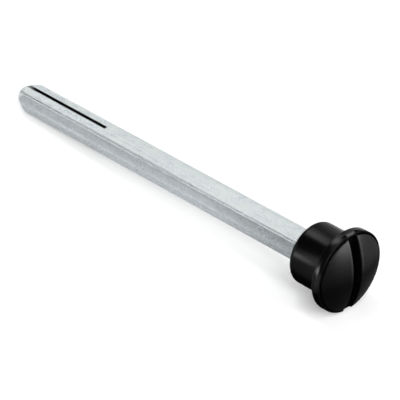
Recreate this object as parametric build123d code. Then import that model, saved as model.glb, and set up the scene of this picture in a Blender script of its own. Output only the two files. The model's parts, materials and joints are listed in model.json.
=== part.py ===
from build123d import *
import math
import os

# Door handle spindle: a square steel bar, slit and turned to a point at its free end, and a black plastic
# head with a coin slot across its dome. Millimetres, +Z up. It lies as it comes to rest, on the rim of the
# head and the tip of the bar, with the origin on the surface below the middle of its bounding box.
# Both pieces are drawn along X, with X = 0 at the back face of the head's collar and the dome towards +X,
# and are then laid down together.

# Square bar
bar_side = 8.0
bar_corner_radius = 0.66
bar_length = 148.0
bar_in_head = 11.7
bar_end_chamfer = 0.5

# Turned point at the free end of the bar
point_half_angle = 26.3
point_flat_radius = 2.66
point_round = 2.6
point_offset_y = -0.13
point_offset_z = -0.16

# Sawn slit that lets the free end spring
slit_width = 1.05
slit_length = 42.0
slit_offset = 0.4
saw_radius = 31.5

# Collar of the head, which turns in the door plate
collar_radius = 10.45
collar_length = 13.47
collar_edge_round = 2.0

# Rim of the head
rim_overhang = 3.28
rim_thickness = 3.13
rim_back_chamfer = 0.15
rim_lip_chamfer = 0.2

# Lip that the rim leaves round the button, and the fine groove inside it
lip_width = 0.36
groove_width = 0.22
groove_depth = 0.3

# Domed button on the rim
dome_edge_height = 0.42
dome_sphere_radius = 28.6
dome_edge_chamfer = 0.38

# Coin slot across the dome
coin_slot_width = 3.45
coin_slot_depth = 0.65
coin_slot_edge_chamfer = 0.2
coin_slot_end_chamfer = 0.25
coin_slot_turn = 6.7

# Blind square socket in the head
socket_clearance = 0.05
socket_end_gap = 0.3
socket_lead_in = 0.4

# Radii that follow from the sizes
rim_radius = collar_radius + rim_overhang
lip_inner_radius = rim_radius - lip_width
dome_radius = lip_inner_radius - groove_width

# Places along X that follow from the sizes
bar_reach = bar_length - bar_in_head
bar_tip_x = -bar_reach
lip_x = collar_length + rim_thickness
groove_floor_x = lip_x - groove_depth
slot_floor_x = lip_x - coin_slot_depth
dome_edge_x = lip_x + dome_edge_height
dome_rise = dome_sphere_radius - math.sqrt(dome_sphere_radius**2 - dome_radius**2)
dome_top_x = dome_edge_x + dome_rise
socket_depth = bar_in_head + socket_end_gap
socket_side = bar_side + 2 * socket_clearance

# How far cutting shapes run past what they cut, and how closely faces and edges are picked
cut_margin = 2.0
pick_tolerance = 0.01


def turned_blank():
    """Body of revolution that the free end of the bar is turned to: a flat nose, a round and a cone."""
    blank_radius = bar_side
    cone_length = (blank_radius - point_flat_radius) / math.tan(math.radians(point_half_angle))
    outline = Polyline(
        (bar_tip_x, 0),
        (bar_tip_x, point_flat_radius),
        (bar_tip_x + cone_length, blank_radius),
        (bar_in_head + cut_margin, blank_radius),
        (bar_in_head + cut_margin, 0),
        close=True,
    )
    profile = make_face(outline)
    nose_corner = profile.vertices().sort_by_distance((bar_tip_x, point_flat_radius))[0]
    profile = fillet(nose_corner, point_round)
    return revolve(profile, Axis.X)


def saw_cut():
    """Slit from the tip inwards, with the round end that the saw leaves."""
    saw_centre_x = bar_tip_x + slit_length - saw_radius
    cut_start_x = min(bar_tip_x, saw_centre_x) - cut_margin
    straight_length = saw_centre_x - cut_start_x
    straight = Box(straight_length, slit_width, bar_side + cut_margin)
    straight = Pos(cut_start_x + straight_length / 2, 0, 0) * straight
    disc = Pos(saw_centre_x, 0, 0) * Rot(90, 0, 0) * Cylinder(saw_radius, slit_width)
    return Pos(0, slit_offset, 0) * (straight + disc)


def make_spindle_bar():
    section = Plane.YZ * RectangleRounded(bar_side, bar_side, bar_corner_radius)
    bar = Pos(bar_tip_x, 0, 0) * extrude(section, amount=bar_length)
    seated_end = bar.faces().sort_by(Axis.X)[-1]
    bar = chamfer(seated_end.edges(), bar_end_chamfer)
    bar = bar & (Pos(0, point_offset_y, point_offset_z) * turned_blank())
    return bar - saw_cut()


def collar_and_rim():
    """Collar and rim as one turned outline, up to the foot of the dome, with the groove beside the lip."""
    outline = Polyline(
        (0, 0),
        (0, collar_radius),
        (collar_length, collar_radius),
        (collar_length, rim_radius),
        (lip_x, rim_radius),
        (lip_x, lip_inner_radius),
        (groove_floor_x, dome_radius),
        (groove_floor_x, 0),
        close=True,
    )
    profile = make_face(outline)
    back_corner = profile.vertices().sort_by_distance((0, collar_radius))[0]
    profile = fillet(back_corner, collar_edge_round)
    rim_corner = profile.vertices().sort_by_distance((collar_length, rim_radius))[0]
    profile = chamfer(rim_corner, rim_back_chamfer)
    lip_corner = profile.vertices().sort_by_distance((lip_x, rim_radius))[0]
    profile = chamfer(lip_corner, rim_lip_chamfer)
    return revolve(profile, Axis.X)


def coin_slot_cut():
    """Straight channel across the head, open at both ends and at the top of the dome."""
    height = dome_top_x - slot_floor_x + cut_margin
    across = 2 * rim_radius + cut_margin
    channel = Pos(slot_floor_x + height / 2, 0, 0) * Box(height, coin_slot_width, across)
    return Rot(-coin_slot_turn, 0, 0) * channel


def dome_button():
    """Domed button as two halves beside the coin slot, with its edges broken."""
    sphere_centre_x = dome_top_x - dome_sphere_radius
    mid_angle = math.asin(dome_radius / dome_sphere_radius) / 2
    mid_x = sphere_centre_x + dome_sphere_radius * math.cos(mid_angle)
    mid_radius = dome_sphere_radius * math.sin(mid_angle)
    sides = Polyline(
        (dome_top_x, 0),
        (slot_floor_x, 0),
        (slot_floor_x, dome_radius),
        (dome_edge_x, dome_radius),
    )
    crown = ThreePointArc((dome_edge_x, dome_radius), (mid_x, mid_radius), (dome_top_x, 0))
    profile = make_face(sides + crown)
    edge_corner = profile.vertices().sort_by_distance((dome_edge_x, dome_radius))[0]
    profile = chamfer(edge_corner, dome_edge_chamfer)
    button = revolve(profile, Axis.X) - coin_slot_cut()
    slot_normal = Axis.Y.direction.rotate(Axis.X, -coin_slot_turn)
    half_width = coin_slot_width / 2
    walls = [
        face
        for face in button.faces().filter_by(GeomType.PLANE)
        if abs(abs(face.center().dot(slot_normal)) - half_width) < pick_tolerance
    ]
    rims = [
        edge
        for wall in walls
        for edge in wall.edges()
        if edge.center().X > slot_floor_x + pick_tolerance
    ]
    return chamfer(rims, coin_slot_edge_chamfer)


def make_slotted_head():
    """Head with the coin slot run out over the rim, the button on top and the square socket in the back."""
    head = collar_and_rim() - coin_slot_cut()
    slot_ends = [
        edge
        for edge in head.edges().filter_by(GeomType.CIRCLE)
        if abs(edge.center().X - slot_floor_x) < pick_tolerance and edge.radius > dome_radius
    ]
    head = chamfer(slot_ends, coin_slot_end_chamfer)
    head = head + dome_button()
    socket = Plane.YZ * RectangleRounded(socket_side, socket_side, bar_corner_radius)
    head = head - extrude(socket, amount=socket_depth)
    back_face = head.faces().sort_by(Axis.X)[0]
    return chamfer(back_face.inner_wires()[0].edges(), socket_lead_in)


def lay_down(pieces):
    """Tilt the pieces until the tip of the bar and the rim both touch Z = 0, then centre them."""
    cone_slope = math.tan(math.radians(point_half_angle))
    tip_drop = bar_side / 2
    tip_x = bar_tip_x + (tip_drop + point_offset_z - point_flat_radius) / cone_slope
    reach = collar_length + rim_back_chamfer - tip_x
    tilt = math.atan2(rim_radius - tip_drop, reach)
    raise_by = tip_drop * math.cos(tilt) - tip_x * math.sin(tilt)
    place = Pos(0, 0, raise_by) * Rot(0, -math.degrees(tilt), 0)
    bounds = Compound([place * piece for piece in pieces]).bounding_box()
    place = Pos(-bounds.center().X, -bounds.center().Y, 0) * place
    print("tilt", math.degrees(tilt), "collar back face at", place.position)
    return [place * piece for piece in pieces]


os.makedirs("parts", exist_ok=True)
spindle_bar, slotted_head = lay_down([make_spindle_bar(), make_slotted_head()])
export_step(spindle_bar, "parts/spindle_bar.step")
export_step(slotted_head, "parts/slotted_head.step")
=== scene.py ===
import json
import math

import bpy
from mathutils import Matrix, Vector


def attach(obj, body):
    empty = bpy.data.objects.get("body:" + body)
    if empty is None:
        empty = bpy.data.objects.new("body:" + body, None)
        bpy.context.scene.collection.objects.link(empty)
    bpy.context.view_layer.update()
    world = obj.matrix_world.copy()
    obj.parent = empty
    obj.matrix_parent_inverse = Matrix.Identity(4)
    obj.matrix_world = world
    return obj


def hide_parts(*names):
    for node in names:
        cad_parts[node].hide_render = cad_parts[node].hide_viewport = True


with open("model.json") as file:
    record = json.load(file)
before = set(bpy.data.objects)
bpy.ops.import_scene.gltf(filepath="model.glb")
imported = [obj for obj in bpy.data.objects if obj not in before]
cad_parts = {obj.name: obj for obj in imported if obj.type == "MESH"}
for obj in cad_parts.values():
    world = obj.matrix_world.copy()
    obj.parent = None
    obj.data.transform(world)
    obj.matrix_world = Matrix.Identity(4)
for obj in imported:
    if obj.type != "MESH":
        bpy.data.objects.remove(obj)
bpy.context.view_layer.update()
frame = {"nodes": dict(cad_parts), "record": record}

# Door handle spindle: a drawn, zinc plated square bar and a black moulded head with a coin slot.
# Metres, +Z up. The part lies on the floor as it comes to rest.

MM = 0.001

# Head, as drawn: collar, rim, lip, groove and dome
COLLAR_RADIUS = 10.45 * MM
COLLAR_LENGTH = 13.47 * MM
COLLAR_EDGE_ROUND = 2.0 * MM
RIM_RADIUS = 13.73 * MM
RIM_THICKNESS = 3.13 * MM
RIM_FOOT_ROUND = 0.25 * MM
RIM_BACK_ROUND = 0.3 * MM
RIM_LIP_ROUND = 0.28 * MM
LIP_WIDTH = 0.36 * MM
LIP_INNER_ROUND = 0.06 * MM
GROOVE_WIDTH = 0.55 * MM
GROOVE_DEPTH = 0.8 * MM
DOME_EDGE_HEIGHT = 0.42 * MM
DOME_EDGE_ROUND = 0.45 * MM
DOME_SPHERE_RADIUS = 28.6 * MM
DOME_RINGS = 24
HEAD_STEPS = 240
SMOOTH_BELOW = math.radians(32)

# Coin slot
COIN_SLOT_WIDTH = 3.45 * MM
COIN_SLOT_DEPTH = 0.65 * MM
COIN_SLOT_EDGE_ROUND = 0.6 * MM
COIN_SLOT_END_ROUND = 0.5 * MM
COIN_SLOT_TURN = math.radians(6.7)
COIN_SLOT_SWING = math.radians(40)
COIN_SLOT_STEPS = 80
COIN_SLOT_FLARE_ANGLE = math.radians(8)
COIN_SLOT_FLARE_OUT = 3.0 * MM
COIN_SLOT_TOOL_DEPTH = 6.0 * MM

# Square socket in the head
SOCKET_SIDE = 8.1 * MM
SOCKET_DEPTH = 12.0 * MM
SOCKET_CORNER = 0.66 * MM
SOCKET_LEAD_IN = 0.4 * MM
SOCKET_TOOL_OUTSIDE = 1.0 * MM

# How far cutting tools run past what they cut, and when two points are the same
CUT_MARGIN = 2.0 * MM
TOUCH = 0.004 * MM

# Places that follow from the sizes
LIP_X = COLLAR_LENGTH + RIM_THICKNESS
SLOT_FLOOR_X = LIP_X - COIN_SLOT_DEPTH
DOME_RADIUS = RIM_RADIUS - LIP_WIDTH - GROOVE_WIDTH

# Where the part's own axis lies: the bar's axis runs towards the dome
MOUNTS = {mount["name"]: mount for mount in frame["record"]["mounts"]}
AXIS = Vector(MOUNTS["coin_slot"]["axis"])
TILT = math.asin(AXIS.z)
BACK_FACE = Vector(MOUNTS["coin_slot"]["pos_m"]) - AXIS * SLOT_FLOOR_X
PLACE = Matrix.Translation(BACK_FACE) @ Matrix.Rotation(-TILT, 4, "Y")

# Camera
CAMERA_PLACE = Vector((0.4593, -0.4247, 0.5017))
CAMERA_AZIMUTH = math.radians(46.693)
CAMERA_ELEVATION = math.radians(38.717)
CAMERA_ROLL = math.radians(-1.514)
CAMERA_LENS = 221.49
SENSOR_WIDTH = 36.0

# Zinc plated steel, the painted shadow inside the slit, and the grey of the cut faces at the slit's start,
# which the light reaches at the tip only
ZINC_BLUE = (0.415, 0.442, 0.466, 1.0)
ZINC_GREEN = (0.432, 0.466, 0.456, 1.0)
SLIT_SHADOW_COLOUR = (0.008, 0.008, 0.008, 1.0)
SAWN_START_COLOUR = (0.42, 0.44, 0.45, 1.0)

# Places on the bar that its material follows, in millimetres, with two lighter lines along its sides and top
BAR_HALF_SIDE = 4.0
BAR_TIP_X = -136.3
BAR_MIDDLE_X = -72.0
MIDDLE_SHADE_REACH = 62.0
HEAD_SHADE_X = -50.0
POINT_END_X = BAR_TIP_X + 4.5
SLIT_END_X = BAR_TIP_X + 42.0
SLIT_Y = 0.4
SLIT_WIDTH = 1.05
SIDE_LINE_Z = -0.75
SIDE_LINE_HALF_WIDTH = 1.0
TOP_LINE_Y = -2.9
TOP_LINE_HALF_WIDTH = 0.7

# Black plastic, with a painted highlight along each side of the coin slot, in millimetres from the slot's
# middle
PLASTIC_BLACK = (0.0014, 0.0014, 0.00145, 1.0)
PLASTIC_WEAR_AND_HIGHLIGHT = (0.06, 0.06, 0.06, 1.0)
PLASTIC_GLOSS = 0.022
SLOT_HIGHLIGHT_AT = 2.4
SLOT_HIGHLIGHT_HALF_WIDTH = 0.65

# Floor with a low wall round it, and the world; the glow makes what lies far from the part white
FLOOR_SIZE = 12.0
FLOOR_COLOUR = (0.8, 0.8, 0.8, 1.0)
FLOOR_WALL = 1.0
FLOOR_GLOW = 0.2
FLOOR_GLOW_FAR = 1.0
FLOOR_GLOW_FROM = 0.3
FLOOR_GLOW_TO = 1.4
WORLD_COLOUR = (0.01, 0.01, 0.01, 1.0)

# Softboxes: azimuth and elevation in degrees, distance, width and height in metres, and brightness
SOFTBOXES = {
    "softbox_right": (66, 11, 1.8, 0.7, 0.5, 30.0),
    "softbox_right_wide": (42, 12, 1.8, 0.6, 0.5, 13.0),
    "softbox_right_high": (52, 36, 1.8, 0.4, 0.3, 6.5),
    "softbox_left": (-146, 6.5, 1.8, 0.55, 0.45, 13.5),
    "softbox_left_wide": (-125, 14, 1.8, 0.7, 0.5, 4.0),
    "softbox_above_left": (-60, 42, 1.8, 0.4, 0.4, 4.4),
    "softbox_above_left_hot": (-77, 47, 1.8, 0.45, 0.4, 9.0),
    "softbox_overhead": (-65, 68, 1.8, 0.4, 0.4, 10.0),
    "softbox_behind_left": (-55, 24, 1.8, 1.0, 0.35, 1.1),
    "softbox_behind_high": (-38, 38, 1.8, 0.8, 0.3, 1.65),
    "softbox_behind_low": (-39, 11, 1.8, 0.8, 0.5, 1.3),
    "softbox_front": (133, 48, 1.8, 1.5, 1.2, 4.2),
    "softbox_top": (0, 88, 1.8, 1.3, 1.3, 0.75),
}


def edit(piece):
    """Goes into edit mode on one piece, with nothing selected in it."""
    bpy.ops.object.select_all(action="DESELECT")
    piece.select_set(True)
    bpy.context.view_layer.objects.active = piece
    bpy.ops.object.mode_set(mode="EDIT")
    bpy.ops.mesh.select_mode(type="VERT")
    bpy.ops.mesh.select_all(action="DESELECT")


def select_points(piece, wanted):
    """Selects the vertices whose place the test accepts; leaves the piece in edit mode."""
    bpy.ops.mesh.select_all(action="DESELECT")
    bpy.ops.object.mode_set(mode="OBJECT")
    for vertex in piece.data.vertices:
        vertex.select = wanted(vertex.co)
    bpy.ops.object.mode_set(mode="EDIT")


def draw_line(name, points):
    """Line through the points, drawn by extruding one vertex; the piece is left in edit mode."""
    bpy.ops.object.select_all(action="DESELECT")
    bpy.ops.mesh.primitive_plane_add(size=MM)
    piece = bpy.context.object
    piece.name = name
    edit(piece)
    bpy.ops.mesh.select_all(action="SELECT")
    bpy.ops.mesh.merge(type="CENTER")
    bpy.ops.transform.translate(value=points[0])
    for start, end in zip(points, points[1:]):
        bpy.ops.mesh.extrude_vertices_move(TRANSFORM_OT_translate={"value": Vector(end) - Vector(start)})
    return piece


def round_corner(piece, corner, offset, segments):
    """Vertex bevel on the drawn line's corner at the given place."""
    corner = Vector(corner)
    select_points(piece, lambda place: (place - corner).length < TOUCH)
    bpy.ops.mesh.bevel(offset=offset, segments=segments, affect="VERTICES")


def fill_outline():
    """Closes the drawn line and fills it with one face."""
    bpy.ops.mesh.select_all(action="SELECT")
    bpy.ops.mesh.remove_doubles(threshold=TOUCH / 2)
    bpy.ops.mesh.edge_face_add()


def close_seams(piece):
    """Merges points that lie together, turns the faces outwards and leaves edit mode."""
    bpy.ops.mesh.select_all(action="SELECT")
    bpy.ops.mesh.remove_doubles(threshold=TOUCH / 2)
    bpy.ops.mesh.normals_make_consistent(inside=False)
    bpy.ops.object.mode_set(mode="OBJECT")


def cut(piece, tool, operation="DIFFERENCE"):
    """Boolean with a tool piece, which is used up."""
    bpy.ops.object.select_all(action="DESELECT")
    piece.select_set(True)
    bpy.context.view_layer.objects.active = piece
    modifier = piece.modifiers.new("cut", "BOOLEAN")
    modifier.operation = operation
    modifier.solver = "EXACT"
    modifier.object = tool
    bpy.ops.object.modifier_apply(modifier=modifier.name)
    bpy.data.objects.remove(tool)


def turn_head_body():
    """Collar, rim, lip, groove and dome as one outline, spun round the bar's axis."""
    groove_floor_x = LIP_X - GROOVE_DEPTH
    dome_edge_x = LIP_X + DOME_EDGE_HEIGHT
    half_angle = math.asin(DOME_RADIUS / DOME_SPHERE_RADIUS)
    sphere_centre_x = dome_edge_x - DOME_SPHERE_RADIUS * math.cos(half_angle)
    corners = [
        (0, 0, 0),
        (0, 0, COLLAR_RADIUS),
        (COLLAR_LENGTH, 0, COLLAR_RADIUS),
        (COLLAR_LENGTH, 0, RIM_RADIUS),
        (LIP_X, 0, RIM_RADIUS),
        (LIP_X, 0, RIM_RADIUS - LIP_WIDTH),
        (groove_floor_x, 0, DOME_RADIUS),
        (dome_edge_x, 0, DOME_RADIUS),
    ]
    crown = []
    for ring in range(1, DOME_RINGS + 1):
        angle = half_angle * (1 - ring / DOME_RINGS)
        along = sphere_centre_x + DOME_SPHERE_RADIUS * math.cos(angle)
        crown.append((along, 0, DOME_SPHERE_RADIUS * math.sin(angle)))
    body = draw_line("slotted_head_rounded", corners + crown)
    dome_edge_offset = DOME_EDGE_ROUND * math.tan(math.pi / 4 - half_angle / 2)
    # Corner, offset and number of segments
    rounds = [
        (corners[1], COLLAR_EDGE_ROUND, 12),
        (corners[2], RIM_FOOT_ROUND, 3),
        (corners[3], RIM_BACK_ROUND, 4),
        (corners[4], RIM_LIP_ROUND, 4),
        (corners[5], LIP_INNER_ROUND, 2),
        (corners[7], dome_edge_offset, 6),
    ]
    for corner, offset, segments in rounds:
        round_corner(body, corner, offset, segments)
    bpy.ops.mesh.select_all(action="SELECT")
    full_turn = 2 * math.pi
    bpy.ops.mesh.spin(
        steps=HEAD_STEPS, angle=full_turn, center=(0, 0, 0), axis=(1, 0, 0), use_auto_merge=True
    )
    close_seams(body)
    return body, sphere_centre_x


def make_slot_tool(sphere_centre_x):
    """Coin slot's walls, swung about the dome's own centre, with a flare that rounds the slot's edges."""
    half_width = COIN_SLOT_WIDTH / 2
    corner_x = math.sqrt(DOME_SPHERE_RADIUS**2 - (half_width + COIN_SLOT_EDGE_ROUND) ** 2)
    flare_rise = COIN_SLOT_FLARE_OUT * math.tan(COIN_SLOT_FLARE_ANGLE)
    one_side = [
        (corner_x - COIN_SLOT_TOOL_DEPTH, half_width),
        (corner_x, half_width),
        (corner_x + flare_rise, half_width + COIN_SLOT_FLARE_OUT),
        (corner_x + COIN_SLOT_TOOL_DEPTH, half_width + COIN_SLOT_FLARE_OUT),
    ]
    other_side = [(along, -across) for along, across in reversed(one_side)]
    outline = [(sphere_centre_x + along, across, 0) for along, across in one_side + other_side]
    tool = draw_line("slot_walls", outline + outline[:1])
    offset = COIN_SLOT_EDGE_ROUND * math.tan(math.pi / 4 - COIN_SLOT_FLARE_ANGLE / 2)
    for across in (half_width, -half_width):
        round_corner(tool, (sphere_centre_x + corner_x, across, 0), offset, 6)
    fill_outline()
    centre = (sphere_centre_x, 0, 0)
    bpy.ops.transform.rotate(
        value=-COIN_SLOT_SWING, orient_axis="Y", orient_type="GLOBAL", center_override=centre
    )
    bpy.ops.mesh.spin(steps=COIN_SLOT_STEPS, angle=2 * COIN_SLOT_SWING, center=centre, axis=(0, 1, 0))
    close_seams(tool)
    return tool


def make_floor_tool():
    """Level floor of the coin slot, whose ends round off into the rim."""
    high_x = SLOT_FLOOR_X + COIN_SLOT_TOOL_DEPTH
    low_x = SLOT_FLOOR_X - COIN_SLOT_TOOL_DEPTH
    end_z = RIM_RADIUS + TOUCH
    out_z = RIM_RADIUS + CUT_MARGIN
    one_end = [(SLOT_FLOOR_X, 0, end_z), (low_x, 0, end_z), (low_x, 0, out_z), (high_x, 0, out_z)]
    other_end = [(along, across, -up) for along, across, up in reversed(one_end)]
    outline = one_end + other_end
    tool = draw_line("slot_floor", outline + outline[:1])
    for corner in (one_end[0], other_end[-1]):
        round_corner(tool, corner, COIN_SLOT_END_ROUND, 6)
    fill_outline()
    beyond_walls = COIN_SLOT_WIDTH
    bpy.ops.transform.translate(value=(0, -beyond_walls, 0))
    bpy.ops.mesh.extrude_region_move(TRANSFORM_OT_translate={"value": (0, 2 * beyond_walls, 0)})
    close_seams(tool)
    return tool


def make_socket_tool():
    """Square socket with its rounded corners and the lead-in at the collar's back."""
    bpy.ops.object.select_all(action="DESELECT")
    length = SOCKET_DEPTH - SOCKET_LEAD_IN
    bpy.ops.mesh.primitive_cube_add(
        size=1,
        location=(SOCKET_LEAD_IN + length / 2, 0, 0),
        scale=(length, SOCKET_SIDE, SOCKET_SIDE),
    )
    tool = bpy.context.object
    tool.name = "socket"
    bpy.ops.object.transform_apply(location=True, rotation=True, scale=True)
    edit(tool)
    bpy.ops.mesh.select_mode(type="EDGE")
    bpy.ops.object.mode_set(mode="OBJECT")
    for edge in tool.data.edges:
        ends = [tool.data.vertices[index].co for index in edge.vertices]
        edge.select = abs(ends[0].x - ends[1].x) > TOUCH
    bpy.ops.object.mode_set(mode="EDIT")
    bpy.ops.mesh.bevel(offset=SOCKET_CORNER, segments=4)
    bpy.ops.mesh.select_mode(type="FACE")
    bpy.ops.mesh.select_all(action="DESELECT")
    bpy.ops.object.mode_set(mode="OBJECT")
    for face in tool.data.polygons:
        face.select = face.normal.x < -0.9
    bpy.ops.object.mode_set(mode="EDIT")
    lead = SOCKET_LEAD_IN + SOCKET_TOOL_OUTSIDE
    bpy.ops.mesh.extrude_region_move(TRANSFORM_OT_translate={"value": (-lead, 0, 0)})
    grow = (SOCKET_SIDE + 2 * lead) / SOCKET_SIDE
    bpy.ops.transform.resize(value=(1, grow, grow), center_override=(0, 0, 0))
    close_seams(tool)
    return tool


def make_head():
    """Head with its coin slot and socket, laid where the CAD has it."""
    body, sphere_centre_x = turn_head_body()
    slot = make_slot_tool(sphere_centre_x)
    cut(slot, make_floor_tool(), "INTERSECT")
    edit(slot)
    bpy.ops.mesh.select_all(action="SELECT")
    bpy.ops.transform.rotate(
        value=COIN_SLOT_TURN, orient_axis="X", orient_type="GLOBAL", center_override=(0, 0, 0)
    )
    bpy.ops.object.mode_set(mode="OBJECT")
    cut(body, slot)
    cut(body, make_socket_tool())
    bpy.ops.object.select_all(action="DESELECT")
    body.select_set(True)
    bpy.context.view_layer.objects.active = body
    bpy.ops.object.shade_smooth_by_angle(angle=SMOOTH_BELOW)
    body.matrix_world = PLACE
    bpy.ops.object.transform_apply(location=True, rotation=True, scale=True)
    return body


def connect(tree, value, socket):
    """Gives a socket another socket's output, or a plain number, colour or vector."""
    if isinstance(value, bpy.types.NodeSocket):
        tree.links.new(value, socket)
    else:
        socket.default_value = value


def add_node(tree, kind, **values):
    """Adds a node; a value's key is the name of the socket that takes it."""
    node = tree.nodes.new(kind)
    for key, value in values.items():
        connect(tree, value, node.inputs[key.replace("_", " ")])
    return node


def calculate(tree, operation, *values):
    """Math node on the values."""
    node = tree.nodes.new("ShaderNodeMath")
    node.operation = operation
    for value, socket in zip(values, node.inputs):
        connect(tree, value, socket)
    return node.outputs["Value"]


def calculate_vector(tree, operation, first, second=(0.0, 0.0, 0.0)):
    """Vector Math node; one that takes a single vector leaves the second unused."""
    node = tree.nodes.new("ShaderNodeVectorMath")
    node.operation = operation
    connect(tree, first, node.inputs[0])
    connect(tree, second, node.inputs[1])
    return node.outputs


def multiply(tree, first, *others):
    """Product of two or more values."""
    product = first
    for other in others:
        product = calculate(tree, "MULTIPLY", product, other)
    return product


def fade(tree, value, low, high, start=0.0, end=1.0):
    """Goes smoothly from start to end while the value goes from low to high."""
    ends = {"From_Min": low, "From_Max": high, "To_Min": start, "To_Max": end}
    node = add_node(tree, "ShaderNodeMapRange", Value=value, **ends)
    node.interpolation_type = "SMOOTHSTEP"
    return node.outputs["Result"]


def add_up(tree, start, patterns):
    """Start plus each pattern times its amount."""
    total = start
    for pattern, amount in patterns:
        total = calculate(tree, "MULTIPLY_ADD", pattern, amount, total)
    return total


def mix_colours(tree, factor, first, second, blend="MIX"):
    """Second colour over the first, by the factor."""
    node = tree.nodes.new("ShaderNodeMix")
    node.data_type = "RGBA"
    node.blend_type = blend
    for value, index in ((factor, 0), (first, 6), (second, 7)):
        connect(tree, value, node.inputs[index])
    return node.outputs[2]


def new_group(name, inputs, outputs):
    """Shader node group with named float or vector inputs and float outputs."""
    group = bpy.data.node_groups.new(name, "ShaderNodeTree")
    for label, value in inputs:
        kind = "NodeSocketFloat" if isinstance(value, float) else "NodeSocketVector"
        socket = group.interface.new_socket(name=label, in_out="INPUT", socket_type=kind)
        if value is not None:
            socket.default_value = value
    for label in outputs:
        group.interface.new_socket(name=label, in_out="OUTPUT", socket_type="NodeSocketFloat")
    given = group.nodes.new("NodeGroupInput").outputs
    result = group.nodes.new("NodeGroupOutput").inputs
    return group, given, result


def use_group(tree, group, **values):
    """Places a group in a material; a value's key is the name of the group's input."""
    node = tree.nodes.new("ShaderNodeGroup")
    node.node_tree = group
    for key, value in values.items():
        connect(tree, value, node.inputs[key.replace("_", " ")])
    return node.outputs[0]


def make_grain_group():
    """Grain: noise stretched by the given amounts, as a value either side of 0."""
    inputs = [("Place", None), ("Stretch", (1.0, 1.0, 1.0)), ("Detail", 4.0), ("Contrast", 1.0)]
    group, given, result = new_group("grain", inputs, ["Value"])
    stretched = calculate_vector(group, "MULTIPLY", given["Place"], given["Stretch"])["Vector"]
    noise = add_node(group, "ShaderNodeTexNoise", Vector=stretched, Scale=1.0, Detail=given["Detail"])
    centred = calculate(group, "SUBTRACT", noise.outputs["Fac"], 0.5)
    connect(group, multiply(group, centred, given["Contrast"]), result["Value"])
    return group


def make_edge_wear_and_highlight_group():
    """Rounded edges in patches, 1 on an edge and 0 on the open surface: rubbed edges on the bar, and on the
    head worn edges with a painted highlight.
    """
    inputs = [("Place", None), ("Width", 0.3 * MM), ("Patch Size", 0.7)]
    group, given, result = new_group("edge_wear_and_highlight", inputs, ["Mask"])
    rounded = add_node(group, "ShaderNodeBevel", Radius=given["Width"])
    rounded.samples = 6
    surface = group.nodes.new("ShaderNodeNewGeometry")
    facing = calculate_vector(group, "DOT_PRODUCT", rounded.outputs["Normal"], surface.outputs["Normal"])
    edge = fade(group, facing["Value"], 0.995, 0.9)
    patch_size = given["Patch Size"]
    noise = add_node(group, "ShaderNodeTexNoise", Vector=given["Place"], Scale=patch_size, Detail=6.0)
    patches = fade(group, noise.outputs["Fac"], 0.35, 0.65, 0.3, 1.0)
    connect(group, multiply(group, edge, patches), result["Mask"])
    return group


def make_long_line_group():
    """One long soft line: 1 on the line and 0 beside it, stronger and fainter along its length."""
    inputs = [("Across", 0.0), ("Line At", 0.0), ("Half Width", 0.3), ("Along", 0.0)]
    group, given, result = new_group("long_line", inputs, ["Mask"])
    aside = calculate(group, "ABSOLUTE", calculate(group, "SUBTRACT", given["Across"], given["Line At"]))
    profile = fade(group, aside, 0.0, given["Half Width"], 1.0, 0.0)
    noise = group.nodes.new("ShaderNodeTexNoise")
    noise.noise_dimensions = "1D"
    connect(group, given["Along"], noise.inputs["W"])
    connect(group, 0.12, noise.inputs["Scale"])
    strength = fade(group, noise.outputs["Fac"], 0.3, 0.7, 0.4, 1.0)
    connect(group, multiply(group, profile, strength), result["Mask"])
    return group


def new_material(name):
    """Empty material, its node tree and its output node."""
    material = bpy.data.materials.new(name)
    material.use_nodes = True
    tree = material.node_tree
    tree.nodes.clear()
    output = tree.nodes.new("ShaderNodeOutputMaterial")
    return material, tree, output


def part_coordinates(tree):
    """Position in the part's own frame, in millimetres: X along the bar's axis, 0 at the collar's back."""
    coordinates = tree.nodes.new("ShaderNodeTexCoord")
    to_part = PLACE.inverted()
    mapping = tree.nodes.new("ShaderNodeMapping")
    mapping.inputs["Location"].default_value = to_part.translation / MM
    mapping.inputs["Rotation"].default_value = to_part.to_euler()
    mapping.inputs["Scale"].default_value = (1 / MM, 1 / MM, 1 / MM)
    tree.links.new(coordinates.outputs["Object"], mapping.inputs["Vector"])
    return mapping.outputs["Vector"]


def slit_masks(tree, axes):
    """The slit's inside, painted dark as its shadow, and its start at the tip, which the light still
    reaches.
    """
    wall = SLIT_WIDTH / 2
    from_slit = calculate(tree, "ABSOLUTE", calculate(tree, "SUBTRACT", axes["Y"], SLIT_Y))
    beside_slit = fade(tree, from_slit, wall + 0.08, wall + 0.26, 1.0, 0.0)
    before_end = fade(tree, axes["X"], SLIT_END_X, SLIT_END_X + 0.4, 1.0, 0.0)
    near_tip = fade(tree, axes["X"], BAR_TIP_X + 2.0, BAR_TIP_X + 6.5, 1.0, 0.0)
    return multiply(tree, beside_slit, before_end), multiply(tree, beside_slit, near_tip)


def corner_shade_mask(tree, axes):
    """Painted shade on the bar's rounded corner between top and front, and on the one across from it."""
    over_corner = calculate(tree, "ADD", axes["Y"], axes["Z"])
    top_edge = fade(tree, over_corner, 1.1, 0.6)
    middle = fade(tree, over_corner, -0.35, 0.25, 0.6, 1.0)
    side_edge = fade(tree, over_corner, -0.8, -0.3)
    return multiply(tree, top_edge, middle, side_edge)


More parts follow.
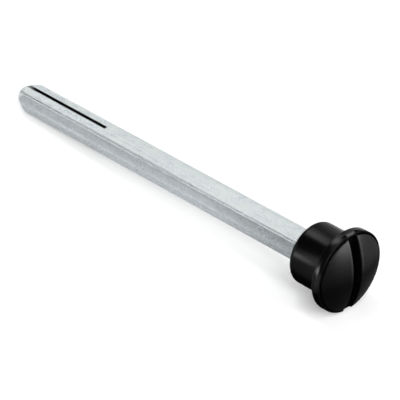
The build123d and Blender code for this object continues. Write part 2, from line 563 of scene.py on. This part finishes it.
def steel_material(grain, edge_wear_and_highlight, long_line):
    """Drawn bar: die lines along it, cloudy zinc, rubbed edges, turning marks on the point and a slit, with
    painted shade on the side face, the corner, the middle and near the head, and a painted shadow inside the
    slit.
    """
    material, tree, output = new_material("drawn_zinc_plated_steel")
    place = part_coordinates(tree)
    axes = add_node(tree, "ShaderNodeSeparateXYZ", Vector=place).outputs
    along = axes["X"]

    fine_lines = use_group(tree, grain, Place=place, Stretch=(0.03, 5.0, 5.0), Detail=3.0, Contrast=1.0)
    broad_lines = use_group(tree, grain, Place=place, Stretch=(0.012, 0.9, 0.9), Detail=2.0, Contrast=1.0)
    clouds = use_group(tree, grain, Place=place, Stretch=(0.2, 0.3, 0.3), Detail=4.0, Contrast=2.2)
    smears = use_group(tree, grain, Place=place, Stretch=(0.9, 0.2, 0.2), Detail=5.0, Contrast=1.0)
    speckle = use_group(tree, grain, Place=place, Stretch=(2.8, 3.6, 3.6), Detail=4.0, Contrast=1.0)
    rings = use_group(tree, grain, Place=place, Stretch=(7.0, 0.1, 0.1), Detail=2.0, Contrast=1.0)
    rubbed = use_group(tree, edge_wear_and_highlight, Place=place, Width=0.25 * MM, Patch_Size=0.7)
    side_line = use_group(
        tree, long_line, Across=axes["Z"], Line_At=SIDE_LINE_Z, Half_Width=SIDE_LINE_HALF_WIDTH, Along=along
    )
    top_line = use_group(
        tree, long_line, Across=axes["Y"], Line_At=TOP_LINE_Y, Half_Width=TOP_LINE_HALF_WIDTH, Along=along
    )

    side_y = -BAR_HALF_SIDE
    on_side = fade(tree, axes["Y"], side_y + 0.4, side_y + 0.05)
    upper_side = multiply(tree, on_side, fade(tree, axes["Z"], 0.3, 3.4))
    below_corner = fade(tree, axes["Z"], 3.7, 3.3)
    near_head = multiply(tree, on_side, fade(tree, along, HEAD_SHADE_X, 0.0), below_corner)
    from_middle = calculate(tree, "ABSOLUTE", calculate(tree, "SUBTRACT", along, BAR_MIDDLE_X))
    middle = fade(tree, from_middle, 0.0, MIDDLE_SHADE_REACH, 1.0, 0.0)
    top_middle = multiply(tree, middle, fade(tree, axes["Y"], side_y + 0.1, side_y + 0.6))
    on_point = fade(tree, along, POINT_END_X - 1.0, POINT_END_X + 1.0, 1.0, 0.0)
    in_slit, slit_start = slit_masks(tree, axes)

    patterns = [
        (fine_lines, 0.3),
        (broad_lines, 0.22),
        (smears, 0.08),
        (speckle, 0.36),
        (multiply(tree, speckle, on_side), 1.2),
        (multiply(tree, fine_lines, on_side), 0.12),
        (side_line, 0.24),
        (top_line, 0.04),
        # The top face darker along the bar's middle: painted shade
        (top_middle, -0.1),
        # The corner darkened: painted shade
        (corner_shade_mask(tree, axes), -0.55),
        # The whole side face darker than the top: painted shade
        (on_side, -0.19),
        # The upper part of the side face darker still: painted shade
        (upper_side, -0.1),
        # The side face darker towards the head: painted shade
        (near_head, -0.3),
        (rubbed, 0.04),
    ]
    tone = add_up(tree, 1.14, patterns)
    greener = add_up(tree, 0.55, [(clouds, 1.0), (on_side, -0.4)])
    zinc = mix_colours(tree, greener, ZINC_BLUE, ZINC_GREEN)
    plated = mix_colours(tree, 1.0, zinc, tone, "MULTIPLY")
    # Near black deep in the slit: painted shadow
    slit_shadowed = mix_colours(tree, in_slit, plated, SLIT_SHADOW_COLOUR)
    colour = mix_colours(tree, slit_start, slit_shadowed, SAWN_START_COLOUR)
    metal = calculate(tree, "SUBTRACT", 1.0, slit_start)

    roughening = [(fine_lines, 0.1), (clouds, 0.04), (speckle, 0.05), (rubbed, -0.08), (in_slit, 0.3)]
    rough = add_up(tree, 0.28, roughening)
    turning_marks = multiply(tree, rings, on_point)
    marks = add_up(tree, 0.0, [(fine_lines, 1.0), (speckle, 0.4), (turning_marks, 1.5)])
    bump = add_node(tree, "ShaderNodeBump", Height=marks, Strength=0.5, Distance=0.02 * MM)
    shader = add_node(
        tree,
        "ShaderNodeBsdfPrincipled",
        Base_Color=colour,
        Metallic=metal,
        Roughness=rough,
        Normal=bump.outputs["Normal"],
    )
    connect(tree, shader.outputs["BSDF"], output.inputs["Surface"])
    return material


def head_masks(tree, place, axes):
    """Masks for the dome, the lip, the groove and the coin slot, and the distance from the slot's middle."""
    lip = LIP_X / MM
    rim = RIM_RADIUS / MM
    slot_wall = COIN_SLOT_WIDTH / MM / 2
    slot_floor = SLOT_FLOOR_X / MM
    along = axes["X"]
    off_axis = calculate_vector(tree, "MULTIPLY", place, (0.0, 1.0, 1.0))["Vector"]
    from_axis = calculate_vector(tree, "LENGTH", off_axis)["Value"]
    slot_normal = (0.0, math.cos(COIN_SLOT_TURN), -math.sin(COIN_SLOT_TURN))
    across_slot = calculate_vector(tree, "DOT_PRODUCT", place, slot_normal)["Value"]
    from_slot = calculate(tree, "ABSOLUTE", across_slot)

    at_lip = fade(tree, along, lip - 0.3, lip - 0.05)
    on_lip = multiply(tree, at_lip, fade(tree, from_axis, rim - 0.55, rim - 0.4))
    between_walls = fade(tree, from_slot, slot_wall + 0.02, slot_wall + 0.12, 1.0, 0.0)
    in_slot = multiply(tree, between_walls, fade(tree, along, slot_floor - 0.8, slot_floor - 0.3))
    near_rim = fade(tree, from_axis, rim - 1.2, rim - 0.6)
    # Lighter at the slot's upper end, next to the rim: painted light
    painted_slot_end_light = multiply(tree, in_slot, near_rim, fade(tree, axes["Z"], 0.0, 8.0))
    inside_lip = fade(tree, from_axis, rim - 0.4, rim - 0.3, 1.0, 0.0)
    below_lip = fade(tree, along, lip - 0.25, lip - 0.05, 1.0, 0.0)
    in_groove = multiply(tree, inside_lip, below_lip, fade(tree, along, lip - 2.0, lip - 1.5))
    return {
        "at_dome": fade(tree, along, lip - 0.1, lip + 0.4),
        "at_lip": at_lip,
        "on_lip": on_lip,
        "in_slot": in_slot,
        "painted_slot_end_light": painted_slot_end_light,
        "in_groove": in_groove,
        "from_slot": from_slot,
    }


def gloss_pattern(tree, axes, masks):
    """Specular level over the head: most on the rim and high on the dome, none in slot and groove, and less
    below, behind, at the back edge and beside the dome, which paints shade into its reflections.
    """
    lip = LIP_X / MM
    at_dome = masks["at_dome"]
    rim_gloss = fade(tree, axes["X"], lip - 2.6, lip - 1.2, 2.6, 8.2)
    # Less gloss behind, below, at the back edge and beside the dome: painted shade in the reflections
    less_behind = fade(tree, axes["Y"], -3.0, 4.0, 1.0, 0.3)
    less_below = fade(tree, axes["Z"], -1.5, 5.5)
    side_gloss = multiply(tree, rim_gloss, less_behind, less_below)
    dome_gloss = fade(tree, axes["Z"], -1.5, 9.0, 0.22, 4.9)
    more_on_dome = multiply(tree, calculate(tree, "SUBTRACT", dome_gloss, side_gloss), at_dome)
    less_at_back = fade(tree, axes["X"], 0.6, 2.2, 0.1, 1.0)
    right_of_dome = multiply(tree, at_dome, fade(tree, axes["Y"], 3.0, 12.0, 0.0, -0.65))
    left_of_dome = multiply(tree, at_dome, fade(tree, axes["Y"], -11.0, -4.0, -0.4, 0.0))
    less_beside = add_up(tree, 1.0, [(right_of_dome, 1.0), (left_of_dome, 1.0)])
    less_on_lip = add_up(tree, 1.0, [(masks["on_lip"], -0.85)])
    hollow = calculate(tree, "MAXIMUM", masks["in_slot"], masks["in_groove"])
    open_surface = calculate(tree, "SUBTRACT", 1.0, hollow)
    gloss = calculate(tree, "ADD", side_gloss, more_on_dome)
    return multiply(tree, gloss, less_at_back, less_beside, less_on_lip, open_surface, PLASTIC_GLOSS)


def plastic_material(grain, edge_wear_and_highlight, long_line):
    """Black moulded plastic: satin, a fine mould grain, faint scuffs, worn edges with a painted highlight, a
    painted highlight along the coin slot's edges and painted light at the slot's upper end.
    """
    material, tree, output = new_material("black_moulded_plastic")
    place = part_coordinates(tree)
    axes = add_node(tree, "ShaderNodeSeparateXYZ", Vector=place).outputs
    mould_grain = use_group(tree, grain, Place=place, Stretch=(4.0, 4.0, 4.0), Detail=4.0, Contrast=1.0)
    haze = use_group(tree, grain, Place=place, Stretch=(0.35, 0.35, 0.35), Detail=5.0, Contrast=1.6)
    scuffs = use_group(tree, grain, Place=place, Stretch=(0.5, 3.5, 0.25), Detail=6.0, Contrast=1.6)
    polished_and_highlit = use_group(tree, edge_wear_and_highlight, Place=place, Width=0.45 * MM, Patch_Size=0.5)
    masks = head_masks(tree, place, axes)
    slot_highlight_line = use_group(
        tree,
        long_line,
        Across=masks["from_slot"],
        Line_At=SLOT_HIGHLIGHT_AT,
        Half_Width=SLOT_HIGHLIGHT_HALF_WIDTH,
        Along=axes["Z"],
    )

    # Lighter edges at the lip, slot and dome: wear, and painted highlights on their rounds
    edges = multiply(tree, polished_and_highlit, masks["at_lip"])
    # A lighter line along each side of the slot, fading downward: painted highlight
    slot_edge_highlight = multiply(tree, slot_highlight_line, masks["at_dome"], fade(tree, axes["Z"], -3.0, 8.0))
    scratches = calculate(tree, "ABSOLUTE", scuffs)
    # Wear and scuffs, with the painted highlights and the painted light at the slot's end
    wear_and_highlights = [(edges, 0.2), (slot_edge_highlight, 0.3), (masks["painted_slot_end_light"], 0.9), (scratches, 0.03)]
    colour = mix_colours(tree, add_up(tree, 0.0, wear_and_highlights), PLASTIC_BLACK, PLASTIC_WEAR_AND_HIGHLIGHT)
    roughening = [(mould_grain, 0.08), (haze, 0.05), (scuffs, 0.06), (masks["at_dome"], 0.16)]
    rough = add_up(tree, 0.22, roughening)

    marks = add_up(tree, 0.0, [(mould_grain, 1.0), (scuffs, 0.5)])
    soft_lip = fade(tree, axes["X"], LIP_X / MM - 1.5, LIP_X / MM, 0.17, 0.0)
    lip = add_node(tree, "ShaderNodeBump", Height=soft_lip, Strength=1.0, Distance=MM).outputs["Normal"]
    bump = add_node(tree, "ShaderNodeBump", Height=marks, Strength=0.25, Distance=0.01 * MM, Normal=lip)
    shader = add_node(
        tree,
        "ShaderNodeBsdfPrincipled",
        Base_Color=colour,
        Roughness=rough,
        Specular_IOR_Level=gloss_pattern(tree, axes, masks),
        Normal=bump.outputs["Normal"],
    )
    connect(tree, shader.outputs["BSDF"], output.inputs["Surface"])
    return material


def floor_material():
    """Pale floor that keeps the part's shadow and glows white, far from the part, to what looks at it."""
    material, tree, output = new_material("pale_floor")
    surface = add_node(tree, "ShaderNodeBsdfDiffuse", Color=FLOOR_COLOUR)
    rays = tree.nodes.new("ShaderNodeLightPath").outputs
    seen = calculate(tree, "MAXIMUM", rays["Is Camera Ray"], rays["Is Glossy Ray"])
    seen = calculate(tree, "MAXIMUM", seen, rays["Is Transmission Ray"])
    place = tree.nodes.new("ShaderNodeTexCoord").outputs["Object"]
    from_part = calculate_vector(tree, "LENGTH", place)["Value"]
    backdrop = fade(tree, from_part, FLOOR_GLOW_FROM, FLOOR_GLOW_TO, FLOOR_GLOW, FLOOR_GLOW_FAR)
    glow = add_node(tree, "ShaderNodeEmission", Strength=multiply(tree, seen, backdrop))
    both = tree.nodes.new("ShaderNodeAddShader")
    connect(tree, surface.outputs[0], both.inputs[0])
    connect(tree, glow.outputs[0], both.inputs[1])
    connect(tree, both.outputs[0], output.inputs["Surface"])
    return material


def add_floor():
    """Floor with a low wall round its edge, which stands in for the backdrop in low views."""
    bpy.ops.object.select_all(action="DESELECT")
    bpy.ops.mesh.primitive_plane_add(size=FLOOR_SIZE, location=(0, 0, 0))
    floor = bpy.context.object
    floor.name = "floor"
    edit(floor)
    bpy.ops.mesh.select_mode(type="EDGE")
    bpy.ops.mesh.select_all(action="SELECT")
    bpy.ops.mesh.extrude_edges_move(TRANSFORM_OT_translate={"value": (0, 0, FLOOR_WALL)})
    bpy.ops.object.mode_set(mode="OBJECT")
    floor.data.materials.append(floor_material())


def add_camera():
    """Long lens that sees the part as the reference picture does."""
    data = bpy.data.cameras.new("camera")
    data.lens = CAMERA_LENS
    data.sensor_width = SENSOR_WIDTH
    camera = bpy.data.objects.new("camera", data)
    bpy.context.scene.collection.objects.link(camera)
    ahead = Vector(
        (
            -math.cos(CAMERA_ELEVATION) * math.sin(CAMERA_AZIMUTH),
            math.cos(CAMERA_ELEVATION) * math.cos(CAMERA_AZIMUTH),
            -math.sin(CAMERA_ELEVATION),
        )
    )
    turn = ahead.to_track_quat("-Z", "Y").to_matrix().to_4x4()
    camera.matrix_world = Matrix.Translation(CAMERA_PLACE) @ turn @ Matrix.Rotation(CAMERA_ROLL, 4, "Z")
    bpy.context.scene.camera = camera


def add_softbox(name, azimuth, elevation, distance, width, height, radiance):
    """Soft area light aimed at the part; azimuth 0 is along +Y and 90 along +X."""
    azimuth = math.radians(azimuth)
    elevation = math.radians(elevation)
    data = bpy.data.lights.new(name, "AREA")
    data.shape = "RECTANGLE"
    data.size = width
    data.size_y = height
    data.energy = radiance * math.pi * width * height
    light = bpy.data.objects.new(name, data)
    bpy.context.scene.collection.objects.link(light)
    away = Vector(
        (
            math.cos(elevation) * math.sin(azimuth),
            math.cos(elevation) * math.cos(azimuth),
            math.sin(elevation),
        )
    )
    light.location = away * distance
    light.rotation_euler = away.to_track_quat("Z", "Y").to_euler()
    light.visible_camera = False


def light_the_scene():
    """Nearly black world and the softboxes."""
    world = bpy.data.worlds.new("studio")
    bpy.context.scene.world = world
    world.use_nodes = True
    background = world.node_tree.nodes["Background"]
    background.inputs["Color"].default_value = WORLD_COLOUR
    for name, settings in SOFTBOXES.items():
        add_softbox(name, *settings)


add_camera()
bar = frame["nodes"]["spindle_bar"]
grain = make_grain_group()
edge_wear_and_highlight = make_edge_wear_and_highlight_group()
long_line = make_long_line_group()
bar.material_slots[0].material = steel_material(grain, edge_wear_and_highlight, long_line)
head = make_head()
head.data.materials.append(plastic_material(grain, edge_wear_and_highlight, long_line))
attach(head, "root")
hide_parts("slotted_head")
add_floor()
light_the_scene()

bpy.context.scene.view_settings.view_transform = "Standard"
